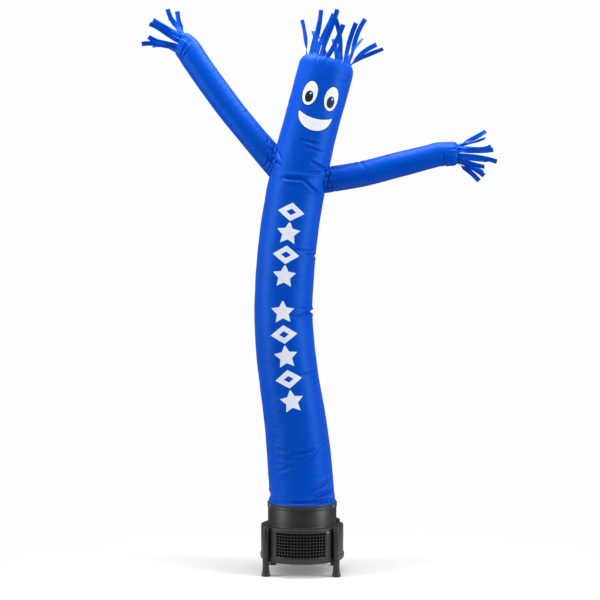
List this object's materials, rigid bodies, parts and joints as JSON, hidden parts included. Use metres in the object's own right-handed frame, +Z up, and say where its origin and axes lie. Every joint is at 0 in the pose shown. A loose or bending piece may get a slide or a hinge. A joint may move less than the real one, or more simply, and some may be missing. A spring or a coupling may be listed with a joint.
{
  "type": "inflatable air dancer with its blower",
  "caption": "Tall inflated cloth tube figure with two sleeves, strip fringes at head and hands and a printed face, standing on a round fan blower with four legs.",
  "frame": {"origin": "on the ground under the middle of the whole figure's box; the blower's axis is at X = -0.104, Y = 0", "axes": "+Z up, +X across the figure towards its lower sleeve, -Y the front, where the face and the intake grille are"},
  "size_m": [2.3202, 0.5538, 3.6934],
  "materials": {
    "nylon_cloth": "coated nylon cloth, soft sheen",
    "moulded_housing": "black moulded polyethylene, fine grain, satin",
    "grille_plastic": "black moulded grille, satin",
    "screw_metal": "zinc-plated steel"
  },
  "bodies": {
    "root": {"body_tube": "nylon_cloth", "sleeve_left": "nylon_cloth", "sleeve_right": "nylon_cloth", "fringe_head": "nylon_cloth", "fringe_left": "nylon_cloth", "fringe_right": "nylon_cloth", "bottom_pan": "moulded_housing", "housing_wall": "moulded_housing", "intake_grille": "grille_plastic", "top_plate": "moulded_housing", "outlet_collar": "moulded_housing", "clamp_band": "moulded_housing", "leg_1": "moulded_housing", "leg_2": "moulded_housing", "leg_3": "moulded_housing", "leg_4": "moulded_housing", "leg_cap_1": "moulded_housing", "leg_cap_2": "moulded_housing", "leg_cap_3": "moulded_housing", "leg_cap_4": "moulded_housing", "mains_inlet": "moulded_housing", "band_screw_1": "screw_metal", "band_screw_2": "screw_metal", "band_screw_3": "screw_metal", "band_screw_4": "screw_metal", "panel_screw": "screw_metal"}
  },
  "joints": []
}
